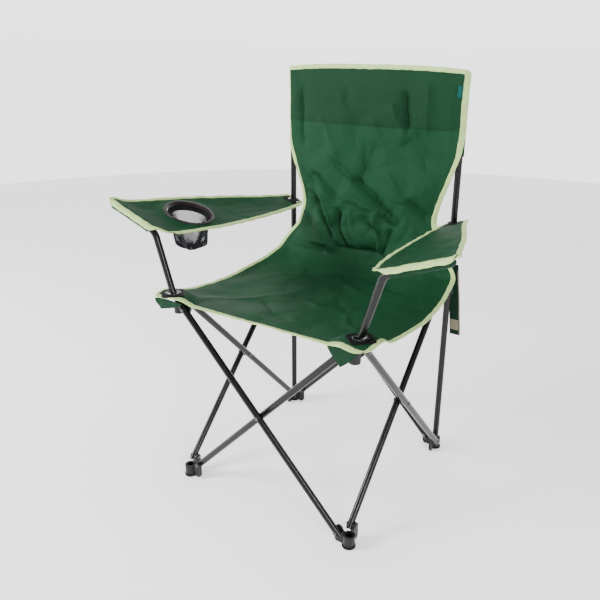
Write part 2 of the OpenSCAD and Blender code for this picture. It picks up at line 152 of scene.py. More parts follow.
class Mat:
    """A material on one Principled shader, with short ways to add nodes to it."""

    def __init__(self, name, rough=0.5, metal=0.0, spec=0.5, sheen=0.0):
        self.m = bpy.data.materials.new(name)
        self.m.use_nodes = True
        self.t = self.m.node_tree
        self.b = self.t.nodes["Principled BSDF"]
        values = {"Roughness": rough, "Metallic": metal, "Specular IOR Level": spec, "Sheen Weight": sheen,
                  "Sheen Roughness": 0.4}
        for socket, value in values.items():
            self.b.inputs[socket].default_value = value
        self.co = self.t.nodes.new("ShaderNodeTexCoord")
        self.normal = None

    def node(self, kind, **values):
        n = self.t.nodes.new(kind)
        for k, v in values.items():
            if k in n.inputs:
                n.inputs[k].default_value = v
            else:
                setattr(n, k, v)
        return n

    def link(self, a, b):
        self.t.links.new(a, b)

    def noise(self, scale, detail=3.0, rough=0.5, space="Object", stretch=None):
        n = self.node("ShaderNodeTexNoise", Scale=scale, Detail=detail, Roughness=rough)
        src = self.co.outputs[space]
        if stretch:
            m = self.node("ShaderNodeMapping", Scale=stretch)
            self.link(src, m.inputs["Vector"])
            src = m.outputs["Vector"]
        self.link(src, n.inputs["Vector"])
        return n.outputs["Fac"]

    def wave(self, pitch, direction, bend):
        # the texture's bands are 0.314 / Scale apart
        n = self.node("ShaderNodeTexWave", wave_type="BANDS", bands_direction=direction,
                      Scale=0.314 / pitch, Distortion=bend, Detail=1.0)
        self.link(self.co.outputs["UV"], n.inputs["Vector"])
        return n.outputs["Fac"]

    def math(self, op, a, b):
        n = self.node("ShaderNodeMath", operation=op)
        for k, v in enumerate((a, b)):
            if isinstance(v, (int, float)):
                n.inputs[k].default_value = v
            else:
                self.link(v, n.inputs[k])
        return n.outputs[0]

    def ramp(self, fac, stops):
        n = self.node("ShaderNodeValToRGB")
        e = n.color_ramp.elements
        while len(e) < len(stops):
            e.new(0.5)
        for k, (pos, col) in enumerate(stops):
            e[k].position = pos
            e[k].color = col
        self.link(fac, n.inputs["Fac"])
        return n.outputs["Color"]

    def bump(self, height, strength, distance):
        n = self.node("ShaderNodeBump", Strength=strength, Distance=distance)
        self.link(height, n.inputs["Height"])
        if self.normal:
            self.link(self.normal, n.inputs["Normal"])
        self.normal = n.outputs["Normal"]
        self.link(self.normal, self.b.inputs["Normal"])

    def rough(self, fac, low, high):
        n = self.node("ShaderNodeMapRange")
        n.inputs["To Min"].default_value = low
        n.inputs["To Max"].default_value = high
        self.link(fac, n.inputs["Value"])
        self.link(n.outputs["Result"], self.b.inputs["Roughness"])

    def mix(self, fac, a, b):
        n = self.node("ShaderNodeMix", data_type="RGBA", blend_type="MIX")
        for k, v in ((0, fac), (6, a), (7, b)):
            if isinstance(v, (int, float, tuple)):
                n.inputs[k].default_value = v
            else:
                self.link(v, n.inputs[k])
        return n.outputs[2]


def scaled(c, k):
    return (c[0] * k, c[1] * k, c[2] * k, 1)


def cloth(name, colour, pitch=0.0011, sheen=0.04, rough=0.6, crumple=0.5, depth=0.5, double=0):
    """Plain weave with threads every pitch metres."""
    m = Mat(name, rough=rough, sheen=sheen, spec=0.1)
    m.b.inputs["Sheen Tint"].default_value = scaled(colour, 1.6)
    warp, weft = m.wave(pitch, "X", bend=0.4), m.wave(pitch * 1.15, "Y", bend=0.4)
    weave = m.math("MULTIPLY", warp, weft)
    tone = m.noise(7, 4, 0.55)
    slub = m.noise(260, 2, 0.5, "UV", (1, 0.08, 1))
    col = m.ramp(tone, [(0.25, scaled(colour, 0.87)), (0.75, scaled(colour, 1.13))])
    col = m.mix(m.math("MULTIPLY", m.math("SUBTRACT", 1.0, weave), 0.22), col, scaled(colour, 0.45))
    col = m.mix(m.math("MULTIPLY", slub, 0.16), col, scaled(colour, 1.5))
    if double:
        # painted shade: the cloth is darker above this distance from the top edge, where two layers let less
        # light through than one
        parts = m.node("ShaderNodeSeparateXYZ")
        m.link(m.co.outputs["UV"], parts.inputs[0])
        above = m.math("LESS_THAN", parts.outputs["Y"], double)
        col = m.mix(m.math("MULTIPLY", above, 0.34), col, scaled(colour, 0.22))
    m.link(col, m.b.inputs["Base Color"])
    m.rough(tone, rough - 0.07, rough + 0.08)
    if crumple:
        m.bump(m.noise(20, 3, 0.55, "UV"), crumple, 0.005)
    m.bump(weave, depth, 0.0005)
    return m.m


GREEN = scaled(lin(40, 104, 68), 0.38)
green = cloth("green_cloth_weave", GREEN, crumple=0.42, double=0.1365)
green_arm = cloth("green_arm_weave", GREEN, crumple=0.3)
# painted shade: a darker copy of the green cloth, standing in for the shade on armrest undersides, post
# pockets, sleeves and hanging flaps
shaded_green = cloth("green_weave_painted_shade", scaled(GREEN, 0.62), crumple=0.3)
patch_black = cloth("black_patch_weave", lin(20, 20, 22), pitch=0.0016, sheen=0.12, rough=0.55, crumple=0.15)
thread_black = cloth("black_thread", lin(34, 34, 37), pitch=0.0008, crumple=0)
thread_green = cloth("green_thread", scaled(GREEN, 1.15), pitch=0.0008, crumple=0)
teal = cloth("teal_tab_weave", lin(12, 78, 74), pitch=0.0009, crumple=0.1)
beige = cloth("beige_patch_weave", lin(134, 126, 108), pitch=0.0012, crumple=0.2)
strap_green = cloth("strap_weave", lin(14, 40, 28), pitch=0.0022, crumple=0.15, depth=0.8)
net_black = cloth("net_yarn", lin(40, 41, 46), pitch=0.0006, crumple=0, rough=0.45)


def binding_material():
    pale = lin(192, 222, 142)
    m = Mat("binding_tape_weave", rough=0.6, sheen=0.08, spec=0.2)
    rib = m.wave(0.0013, "X", bend=0.2)
    tone = m.noise(45, 4, 0.6, "UV")
    col = m.ramp(tone, [(0.3, scaled(pale, 0.82)), (0.7, scaled(pale, 1.06))])
    col = m.mix(m.math("MULTIPLY", m.math("SUBTRACT", 1.0, rib), 0.14), col, scaled(pale, 0.5))
    m.link(col, m.b.inputs["Base Color"])
    m.bump(m.noise(130, 3, 0.6, "UV"), 0.35, 0.0018)
    m.bump(rib, 0.45, 0.0004)
    return m.m


binding = binding_material()


def hard(name, colour, rough, metal=0.0, grain=900, grain_depth=0.0003, strength=0.3, worn=None):
    """Paint, plastic or metal with a fine grain; worn is the colour of small scuffs."""
    m = Mat(name, rough=rough, metal=metal, spec=0.3)
    tone = m.noise(22, 4, 0.6)
    col = m.ramp(tone, [(0.3, scaled(colour, 0.8)), (0.75, scaled(colour, 1.25))])
    if worn:
        fine = m.ramp(m.noise(140, 6, 0.7), [(0.62, (0, 0, 0, 1)), (0.74, (1, 1, 1, 1))])
        col = m.mix(m.math("MULTIPLY", fine, 0.5), col, worn)
    m.link(col, m.b.inputs["Base Color"])
    m.rough(tone, rough - 0.08, rough + 0.08)
    m.bump(m.noise(grain, 3, 0.5), strength, grain_depth)
    return m.m


paint = hard("gloss_tube_paint", lin(12, 12, 13), 0.24, grain=420, grain_depth=0.0002, strength=0.16)
plastic = hard("moulded_hub_plastic", lin(16, 16, 18), 0.42, grain=1300, strength=0.35)
cap_plastic = hard("cap_plastic", lin(15, 15, 17), 0.5, grain=1100, strength=0.35)
steel = hard("blackened_rivet_steel", lin(92, 92, 96), 0.34, metal=0.9, grain=700, worn=lin(150, 150, 155))
eyelet_steel = hard("eyelet_steel", lin(84, 86, 90), 0.3, metal=0.9, grain=600, worn=lin(160, 160, 166))
rim_plastic = hard("cup_rim_plastic", lin(36, 30, 29), 0.4, grain=1000)
spacer_plastic = hard("spacer_nylon", lin(22, 22, 24), 0.5, grain=1200)


def finish_node(name, material):
    o = nodes[name]
    if len(o.material_slots) == 0:
        o.data.materials.append(material)
    for slot in o.material_slots:
        slot.material = material


for n in nodes:
    if n.startswith(("foot_rivets", "hub_rivets", "slider_rivets", "rivet_")):
        finish_node(n, steel)
    elif n.startswith(("foot_", "hub_", "slider_")):
        finish_node(n, plastic)
    elif "_tube_" in n or n in ("post_l", "post_r"):
        finish_node(n, paint)
    elif n.startswith("spacer_"):
        finish_node(n, spacer_plastic)
    elif n.startswith("corner_eyelet"):
        finish_node(n, eyelet_steel)
    elif n.startswith(("post_cap", "tip_cap", "arm_ring")):
        finish_node(n, cap_plastic)
    elif n == "cup_rim":
        finish_node(n, rim_plastic)


# ------------------------------------------------------------------ meshes

def place(p):
    """Millimetres about the middle of the hubs to metres in the shared frame."""
    p = np.asarray(p, float)
    return (p + np.array([0, SHIFT, 0])) * MM


def new_object(name, verts, faces, material, uvs=None, normals=None, smooth=True):
    mesh = bpy.data.meshes.new(name)
    mesh.from_pydata([tuple(v) for v in verts], [], [tuple(int(i) for i in f) for f in faces])
    mesh.update()
    if uvs is not None:
        layer = mesh.uv_layers.new(name="UVMap")
        idx = np.zeros(len(mesh.loops), int)
        mesh.loops.foreach_get("vertex_index", idx)
        layer.data.foreach_set("uv", np.asarray(uvs, float)[idx].astype(np.float32).ravel())
    if smooth:
        mesh.polygons.foreach_set("use_smooth", [True] * len(mesh.polygons))
    if normals is not None:
        mesh.normals_split_custom_set_from_vertices([tuple(n) for n in normals])
    mesh.materials.append(material)
    o = bpy.data.objects.new(name, mesh)
    bpy.context.scene.collection.objects.link(o)
    return o


def fix_normals(o):
    bm = bmesh.new()
    bm.from_mesh(o.data)
    bmesh.ops.remove_doubles(bm, verts=bm.verts, dist=1e-6)
    bmesh.ops.recalc_face_normals(bm, faces=bm.faces)
    bm.to_mesh(o.data)
    bm.free()
    o.data.polygons.foreach_set("use_smooth", [True] * len(o.data.polygons))


def apply_modifiers(o):
    deps = bpy.context.evaluated_depsgraph_get()
    mesh = bpy.data.meshes.new_from_object(o.evaluated_get(deps))
    old = o.data
    o.modifiers.clear()
    o.data = mesh
    bpy.data.meshes.remove(old)


def thicken(o, thick, offset=0):
    """Give a single layer of faces a thickness in metres."""
    mod = o.modifiers.new("thick", "SOLIDIFY")
    mod.thickness = thick
    mod.offset = offset
    apply_modifiers(o)
    fix_normals(o)
    return o


def grid_quads(rows, cols, flip=False):
    """Quads over rows of cols points; flip turns them over."""
    idx = np.arange(rows * cols).reshape(rows, cols)
    a, b, c, d = idx[:-1, :-1], idx[1:, :-1], idx[1:, 1:], idx[:-1, 1:]
    return np.stack([a, d, c, b] if flip else [a, b, c, d], -1).reshape(-1, 4)


def ring_quads(rows, cols):
    """Quads over rows of cols points, where each row closes on itself."""
    faces = []
    for i in range(rows - 1):
        for j in range(cols):
            k = (j + 1) % cols
            faces.append((i * cols + j, i * cols + k, (i + 1) * cols + k, (i + 1) * cols + j))
    return faces


def rim_edges(quads):
    """The edges that only one quad has, each in that quad's direction."""
    edges = np.concatenate([quads[:, [0, 1]], quads[:, [1, 2]], quads[:, [2, 3]], quads[:, [3, 0]]])
    _, first, count = np.unique(np.sort(edges, 1), axis=0, return_index=True, return_counts=True)
    return edges[first[count == 1]]


def run_along(points):
    """Distance along a line of points, from its start."""
    return np.concatenate([[0], np.cumsum(np.linalg.norm(np.diff(points, axis=0), axis=1))])


def surface_normals(f, a, b, ea, eb):
    """Normals of the surface f(a, b), from small steps ea and eb."""
    pa = f(a + ea, b) - f(a - ea, b)
    pb = f(a, b + eb) - f(a, b - eb)
    n = np.cross(pa, pb)
    return n / np.maximum(np.linalg.norm(n, axis=-1, keepdims=True), 1e-9)


def two_sided(name, f, a, b, ea, eb, uv, thick, material, flip=False, cut=None, snap=None, back=None):
    """Cloth over a grid of a and b, with two faces and a closed rim.
    cut(p) is true where a hole is, and snap(p) moves the hole's border onto its outline."""
    na, nb = len(a), len(b)
    A, B = np.meshgrid(a, b, indexing="ij")
    A, B = A.ravel(), B.ravel()
    p = f(A, B)
    n = surface_normals(f, A, B, ea, eb) * (-1 if flip else 1)
    U = uv(A, B) * MM
    quads = grid_quads(na, nb)
    if flip:
        quads = quads[:, ::-1]
    if cut is not None:
        quads = quads[~cut(p[quads].mean(1))]
        inner = np.zeros((na, nb), bool)
        inner.flat[np.unique(rim_edges(quads))] = True
        inner[[0, -1]] = False
        inner[:, [0, -1]] = False
        inner = inner.ravel()
        p[inner] = snap(p[inner])
    used = np.unique(quads)
    remap = np.full(len(p), -1)
    remap[used] = np.arange(len(used))
    quads, p, n, U = remap[quads], p[used], n[used], U[used]
    count_v = len(p)
    top, low = p + n * thick / 2, p - n * thick / 2
    faces = [tuple(q) for q in quads] + [tuple(q[::-1] + count_v) for q in quads]
    faces += [(j, i, i + count_v, j + count_v) for i, j in rim_edges(quads)]
    verts = place(np.concatenate([top, low]))
    o = new_object(name, verts, faces, material, np.concatenate([U, U]), np.concatenate([n, -n]))
    if back:
        o.data.materials.append(back)
        half = len(quads)
        for poly in o.data.polygons[half:2 * half]:
            poly.material_index = 1
    return o


def tape(name, edge, inner, middle, n_edge, n_inner, n_mid, half, out, seed, closed=False):
    """Binding folded over a cloth's edge: edge, middle and inner are points on the cloth."""
    bulge = middle - (edge + inner) / 2
    k = len(edge)
    length = run_along(edge)
    wob = perlin(length / 21, length * 0 + 3.3, seed)
    wob2 = perlin(length / 9, length * 0 + 8.1, seed + 3)
    h = (half * (1 + 0.22 * wob2))[:, None]
    way = edge - inner
    way /= np.maximum(np.linalg.norm(way, axis=1, keepdims=True), 1e-9)
    edge = edge + n_edge * (0.9 * wob)[:, None] + way * (0.7 * wob2)[:, None]
    inner = inner + way * (0.9 * perlin(length / 14, length * 0 + 1.7, seed + 5))[:, None]
    mid = (edge + inner) / 2 + bulge
    q3 = edge * 0.82 + inner * 0.18 + bulge * 0.59
    q1 = inner * 0.88 + edge * 0.12 + bulge * 0.42
    ring = [
        inner + n_inner * half * 0.62, q1 + n_inner * h,
        mid + n_mid * h * 0.95, q3 + n_edge * h * 1.15,
        edge + n_edge * h * 0.8 + way * out * 0.6, edge + way * out,
        edge - n_edge * h * 0.8 + way * out * 0.6, q3 - n_edge * h * 1.15,
        mid - n_mid * h * 0.95, q1 - n_inner * h,
        inner - n_inner * half * 0.62,
    ]
    m = len(ring)
    verts = np.stack(ring, 1).reshape(-1, 3)
    across = np.array([0, 1, 5, 9, 11, 12, 13, 15, 19, 23, 24], float)
    uv = np.stack([np.repeat(length, m), np.tile(across, k)], 1) * MM
    faces = []
    for i in range(k if closed else k - 1):
        j = (i + 1) % k
        for c in range(m):
            d = (c + 1) % m
            faces.append((i * m + c, i * m + d, j * m + d, j * m + c))
    if not closed:
        faces.append(tuple(range(m - 1, -1, -1)))
        faces.append(tuple((k - 1) * m + c for c in range(m)))
    o = new_object(name, place(verts), faces, binding, uv)
    fix_normals(o)
    return o


def stitches(name, points, normals, material, pitch=4.2, length=2.9, r=0.34, lift=0.25):
    """A row of raised stitches along points on a surface."""
    points, normals = np.asarray(points, float), np.asarray(normals, float)
    run = run_along(points)
    verts, faces = [], []
    count = max(1, int(run[-1] / pitch))
    for i in range(count):
        s0, s1 = i * pitch + 0.3, i * pitch + 0.3 + length
        loop = []
        for q, s in enumerate(np.linspace(s0, s1, 4)):
            p = np.array([np.interp(s, run, points[:, c]) for c in range(3)])
            n = np.array([np.interp(s, run, normals[:, c]) for c in range(3)])
            d = np.array([np.interp(s + 0.5, run, points[:, c]) - np.interp(s - 0.5, run, points[:, c])
                          for c in range(3)])
            d /= max(np.linalg.norm(d), 1e-9)
            n -= d * n.dot(d)
            n /= max(np.linalg.norm(n), 1e-9)
            side = np.cross(d, n)
            up = lift + (0.22 if q in (1, 2) else -0.1)
            rad = r if q in (1, 2) else r * 0.5
            base = len(verts)
            for k in range(5):
                t = 2 * math.pi * k / 5
                verts.append(p + n * (up + rad * math.cos(t)) + side * rad * math.sin(t))
            loop.append(base)
        for u, v in zip(loop[:-1], loop[1:]):
            for k in range(5):
                faces.append((u + k, u + (k + 1) % 5, v + (k + 1) % 5, v + k))
        faces.append(tuple(loop[0] + k for k in range(4, -1, -1)))
        faces.append(tuple(loop[-1] + k for k in range(5)))
    o = new_object(name, place(verts), faces, material, np.array(verts)[:, :2] * MM)
    fix_normals(o)
    return o


# ------------------------------------------------------------------ the sling

# down the back and along the seat: the middle's y and z, then the edge's x, y and z
SLING = [
    (207, 947, 236, 214.5, 938), (207, 915, 235, 214.5, 910), (206, 880, 234, 214.5, 878),
    (204, 811, 235, 214.5, 813), (201, 757, 231, 214.5, 757), (196, 700, 212, 215, 700),
    (189, 650, 194, 216, 650), (184, 611, 184.5, 216, 611), (181, 582, 189, 215, 582),
    (181, 548, 201, 211, 550), (184, 520, 223, 206, 523), (190, 498, 244, 202, 496),
    (196, 482, 252, 196, 480), (178, 463, 256, 163, 468), (150, 450, 261, 125, 459),
    (110, 442, 265, 88, 453), (73, 439, 267, 55, 449), (0, 437, 268, -1, 444),
    (-60, 440, 267, -70, 447), (-130, 445, 266, -132, 453), (-190, 452, 268, -206, 466),
    (-232, 457, 272, -280, 478),
]
arc = [0.0]
for p, q in zip(SLING[:-1], SLING[1:]):
    arc.append(arc[-1] + math.hypot(p[0] - q[0], p[1] - q[1]))
S_PANEL, S_SEAM, S_SPLIT, S_END = arc[3], arc[12], arc[16], arc[21]
sling_rows = Curve([(s,) + r for s, r in zip(arc, SLING)], 16)
CORNERS = ((-230.0, -236.05), (230.0, -213.95))
TRAY_Z = 476.3  # of the flat cloth round the front tubes
EYELET_HOLE = 13.5
BACK_HALF = 236.0  # half the cloth's width at its top
POCKET_SEAM = 0.885  # how far across the cloth the post pockets are sewn
CLOTH = 0.9  # thickness
BACK_FOLD, SEAT_FOLD = 3.0, 0.95  # how deep the folds below are pressed

# folds in the cloth: across and down from the middle of its top edge, width, depth
BACK_FOLDS = [
    (-24, 262, 96, 352, 10, -7), (-112, 205, -22, 268, 14, 5), (-150, 262, -70, 318, 9, -5),
    (-60, 300, 20, 330, 11, 4), (-20, 268, 30, 180, 16, -3), (60, 240, 130, 330, 14, 4),
    (96, 352, 40, 335, 7, -5), (-168, 305, -80, 330, 8, 4), (-140, 330, -70, 432, 8, -5),
    (-110, 325, -60, 438, 8, 4), (-70, 340, -42, 440, 8, -5), (-30, 335, 8, 432, 9, 4.5),
    (0, 350, 62, 405, 8, -5), (30, 345, 62, 445, 9, 4), (90, 370, 60, 446, 9, -4),
    (-75, 446, 90, 448, 11, -5), (-150, 430, -75, 452, 10, 3), (150, 395, 70, 442, 9, 3.5),
    (-190, 250, -120, 350, 12, -3), (120, 300, 175, 350, 10, -4), (-60, 60, -28, 190, 14, -3),
    (60, 90, 100, 160, 13, 4), (100, 60, 100, 150, 8, -4.5), (115, 150, 165, 230, 13, -3.5),
    (-190, 60, -186, 200, 9, -3), (-130, 130, -75, 210, 15, 3), (150, 40, 158, 150, 10, 3),
    (20, 120, 60, 215, 18, 3), (-10, 175, 6, 262, 14, -3),
]
SEAT_FOLDS = [
    (-205, 880, -90, 700, 11, 4), (-100, 760, 30, 845, 9, -4), (-90, 700, -30, 590, 16, 3),
    (205, 860, 95, 720, 12, 4), (95, 720, 30, 640, 12, -3.5), (-160, 570, -40, 520, 12, -4),
    (-30, 540, 60, 600, 13, 3.5), (40, 690, 120, 640, 10, -3), (-60, 855, 60, 880, 15, 2.5),
    (0, 500, 30, 640, 13, -3), (150, 560, 60, 500, 12, -3), (-200, 620, -120, 540, 14, 3),
    (120, 800, 30, 845, 10, 3), (-20, 700, 60, 720, 12, 3), (170, 700, 215, 640, 13, -2.5),
]


def sling_base(u, s):
    """The taut shape of the sling: u from -1 to 1 across, s down the cloth in mm."""
    u, s = np.asarray(u, float), np.asarray(s, float)
    # corners are rounded by pulling the two edges in towards each other
    for end, radius in ((0.0, 11.0), (S_END, 36.0)):
        width = BACK_HALF if end == 0 else 272.0
        a = np.clip(1 - (1 - np.abs(u)) * width / radius, 0, 1)
        b = np.clip(1 - np.abs(s - end) / radius, 0, 1)
        both = (a > 0) & (b > 0)
        a2, b2 = a * np.sqrt(1 - b * b / 2), b * np.sqrt(1 - a * a / 2)
        u = np.where(both, np.sign(u) * (1 - (1 - a2) * radius / width), u)
        s = np.where(both, end + (1 - b2) * radius * (1 if end == 0 else -1), s)
    cy, cz, ex, ey, ez = sling_rows(s)
    au = np.abs(u)
    k = 3.2 - 1.0 * smoothstep(S_SEAM - 90, S_SPLIT, s)
    w = np.maximum(au, 1e-6) ** k
    x = u * ex
    y = cy * (1 - w) + ey * w
    # in front of the posts the cloth turns back round their outer sides
    y = y + 10.5 * smoothstep(0.955, 1.0, au) ** 1.3 * (1 - smoothstep(S_PANEL, arc[4] + 20, s))
    z = cz * (1 - w) + ez * w
    for cx, cy2 in CORNERS:
        t = 1 - smoothstep(30, 68, np.hypot(x - cx, y - cy2))
        z = z * (1 - t) + TRAY_Z * t
    return np.stack([x, y, z], -1)


def sling_relief(u, s):
    """How far the cloth stands out of its taut shape."""
    x, au = u * sling_rows(s)[2], np.abs(u)
    wx = x + 12 * perlin(x / 60, s / 60, 11)
    ws = s + 12 * perlin(x / 60, s / 60, 12)
    d = 5.0 * perlin(x / 150, s / 170, 1) + 1.6 * perlin(x / 64, s / 80, 2)
    lumbar = np.exp(-((s - 380) / 85) ** 2)
    back = 1 - smoothstep(S_SEAM - 20, S_SEAM + 40, s)
    amp = 0.5 + 1.5 * lumbar + 0.5 * smoothstep(S_PANEL, S_PANEL + 60, s) * back
    c1 = cells(wx / 92, ws / 108, 5)
    c2 = cells(wx / 40 + 9, ws / 50, 6)
    d = d + amp * 3.4 * (np.clip(c1 / 0.6, 0, 1) - 0.6) + 2.4 * lumbar * (np.clip(c2 / 0.5, 0, 1) - 0.6)
    for x0, s0, x1, s1, width, depth in BACK_FOLDS:
        d = d + BACK_FOLD * depth * ridge(wx, ws, x0, s0, x1, s1, width)
    for x0, s0, x1, s1, width, depth in SEAT_FOLDS:
        d = d + SEAT_FOLD * depth * ridge(wx, ws, x0, s0, x1, s1, width)
    # the double layer's lower edge makes a low step across the back
    d = d - 0.9 * smoothstep(S_PANEL - 1.5, S_PANEL + 1.5, s) * (1 - smoothstep(S_SEAM - 120, S_SEAM - 40, s))
    # taut at the posts, the edges and the corners
    p = sling_base(u, s)
    hold = 1 - smoothstep(0.86, 0.985, au)
    hold = hold * smoothstep(0, 22, s) * smoothstep(0, 24, S_END - s)
    for cx, cy2 in CORNERS:
        hold = hold * smoothstep(36, 80, np.hypot(p[..., 0] - cx, p[..., 1] - cy2))
    free = 1 - hold
    edge_wave = 1.1 * perlin(s / 26, au * 0 + np.sign(u) * 3.7, 21) + 0.8 * perlin(x / 30, s * 0 + 5.5, 22)
    near = (1 - smoothstep(0, 24, S_END - s)) + (1 - smoothstep(0, 22, s))
    side = smoothstep(0.9, 1.0, au) * smoothstep(210, 260, s)
    wave = edge_wave * np.clip(near * (au < 0.8) + side * (s > 210), 0, 1)
    return d * hold + wave * free


def sling(u, s):
    # to the front on the back, and up on the seat
    n = -surface_normals(sling_base, u, s, 0.004, 1.0)
    return sling_base(u, s) + n * sling_relief(u, s)[..., None]


def sling_uv(u, s):
    return np.stack([u * BACK_HALF, s], -1)


def sling_normal(u, s):
    return -surface_normals(sling, u, s, 0.006, 1.5)


def corner_hole(p):
    holes = [np.hypot(p[:, 0] - x, p[:, 1] - y) < EYELET_HOLE for x, y in CORNERS]
    return np.any(holes, 0) & (p[:, 2] > 440)


def corner_snap(p):
    out = p.copy()
    for x, y in CORNERS:
        d = np.hypot(p[:, 0] - x, p[:, 1] - y)
        m = d < 24
        out[m, 0] = x + (p[m, 0] - x) / d[m] * EYELET_HOLE
        out[m, 1] = y + (p[m, 1] - y) / d[m] * EYELET_HOLE
    return out


us = np.linspace(-1, 1, 119)
# the edge rows are closer together, as the outline curves there
us = np.sign(us) * (1 - (1 - np.abs(us)) ** 1.12)


def sling_part(name, s0, s1, **hole):
    down = np.linspace(s0, s1, max(2, int((s1 - s0) / 4.2) + 1))
    return two_sided(name, sling, us, down, 0.004, 1.2, sling_uv, CLOTH, green, True, **hole)


GAP = 0.03
back_cloth = sling_part("back_cloth", 0, S_SEAM)
seat_rear_cloth = sling_part("seat_rear_cloth", S_SEAM + GAP, S_SPLIT - GAP)
seat_front_cloth = sling_part("seat_front_cloth", S_SPLIT + GAP, S_END, cut=corner_hole, snap=corner_snap)


def edge_run(points):
    """u, s pairs along a border, filled in every few millimetres."""
    out = []
    for (u0, s0), (u1, s1) in zip(points[:-1], points[1:]):
        n = max(2, int(max(abs(u1 - u0) * BACK_HALF, abs(s1 - s0)) / 3.5))
        for k in range(n):
            t = k / n
            out.append((u0 + (u1 - u0) * t, s0 + (s1 - s0) * t))
    out.append(points[-1])
    return np.array(out)


def bound(name, points, seed, width=9.5):
    """Binding along the border that runs through these u, s points."""
    run = edge_run(points)
    u, s = run[:, 0], run[:, 1]
    du = width / sling_rows(s)[2]
    ui = np.clip(u, -1 + du, 1 - du)
    si = np.clip(s, width, S_END - width)
    u_, s_ = u * 0.9995, np.clip(s, 0.3, S_END - 0.3)
    um, sm = (u_ + ui) / 2, (s_ + si) / 2
    return tape(name, sling(u_, s_), sling(ui, si), sling(um, sm), sling_normal(u_ * 0.995, s_),
                sling_normal(ui, si), sling_normal(um, sm), 1.25, 1.3, seed)


back_binding = bound("back_binding", [(-1, S_SEAM), (-1, 0), (1, 0), (1, S_SEAM)], 31)
rear_binding_l = bound("seat_rear_binding_l", [(-1, S_SEAM), (-1, S_SPLIT)], 32)
rear_binding_r = bound("seat_rear_binding_r", [(1, S_SEAM), (1, S_SPLIT)], 33)
front_binding = bound("seat_front_binding", [(-1, S_SPLIT), (-1, S_END), (1, S_END), (1, S_SPLIT)], 34)

def sling_seam(name, u, s):
    return stitches(name, sling(u, s), sling_normal(u, s), thread_green, lift=0.55)


# seams: the double layer's lower edge, twice stitched, and the pockets' seams
seam_parts = []
for k, s0 in enumerate((S_PANEL - 3.0, S_PANEL - 7.5)):
    uu = np.linspace(-0.95, 0.95, 260)
    seam_parts.append(sling_seam(f"panel_seam_{k + 1}", uu, np.full_like(uu, s0)))
for k, side in enumerate((-1, 1)):
    ss = np.linspace(14, arc[4] - 4, 140)
    seam_parts.append(sling_seam(f"pocket_seam_{'lr'[k]}", np.full_like(ss, side * POCKET_SEAM), ss))


# ------------------------------------------------------------------ pockets on the posts

def pocket(name, side):
    """The back of the sleeve that wraps a rear post and is sewn to the sling's back."""
    rows, cols = 46, 22
    foot, top = 757, 934
    px, py = side * HALF, HALF
    verts, uv = [], []

    def round_post(r, degrees):
        ang = math.radians(degrees)
        return px + side * r * math.cos(ang), py + r * math.sin(ang)

    for i in range(rows):
        z = foot + (top - foot) * i / (rows - 1)
        s = float(np.interp(-z, [-r[1] for r in SLING[:6]], arc[:6]))
        ends = sling(np.array([side * POCKET_SEAM, side * 0.992]), np.array([s, s]))
        low = 1 - smoothstep(foot, foot + 18, z)
        for j in range(cols):
            t = j / (cols - 1)
            # from the seam, round the back of the post, to the outer edge of the front panel
            r = 9.4 + 0.35 * wobble(z / 19, t * 3.0, 41)
            if t < 0.25:
                k = t / 0.25
                target = round_post(r, 150)
                start = (ends[0][0], ends[0][1] + 1.1)
                x, y = start[0] + (target[0] - start[0]) * k, start[1] + (target[1] - start[1]) * k ** 0.8
            elif t < 0.85:
                x, y = round_post(r, 150 - 135 * ((t - 0.25) / 0.6))
            else:
                k = (t - 0.85) / 0.15
                x0, y0 = round_post(r, 15)
                x, y = x0 + (ends[1][0] - x0) * k, y0 + (ends[1][1] + 1.0 - y0) * k
            verts.append((x, y, z - 2.2 * low * math.sin(math.pi * t)))
            uv.append((t * 60, z))
    verts, uv = np.array(verts), np.array(uv)
    # painted shade: the pocket takes the darker copy of the green cloth
    o = new_object(name, place(verts), grid_quads(rows, cols), shaded_green, uv * MM)
    return thicken(o, 0.0009)


pocket_l = pocket("post_pocket_l", -1)
pocket_r = pocket("post_pocket_r", 1)


# ------------------------------------------------------------------ armrests

ARM_LENGTH = 468  # along the cloth, from front to rear
FRONT_WIDTH, FRONT_RADIUS = 168, 15
POST_HOLE, CUP_HOLE = 14.6, 55.6


def arm_rows(front):
    """Down the cloth: y, inner x and outer x of the right armrest."""
    return Curve([
        (0, front, 238, 406), (38, front + 38, 232, 399), (88, -138, 219, 381), (150, -80, 209, 363),
        (210, -20, 203, 345), (290, 60, 197, 316), (380, 150, 195, 281), (436, 206, 196, 263),
        (456, 226, 200, 258), (468, 238, 209, 255),
    ], 9)


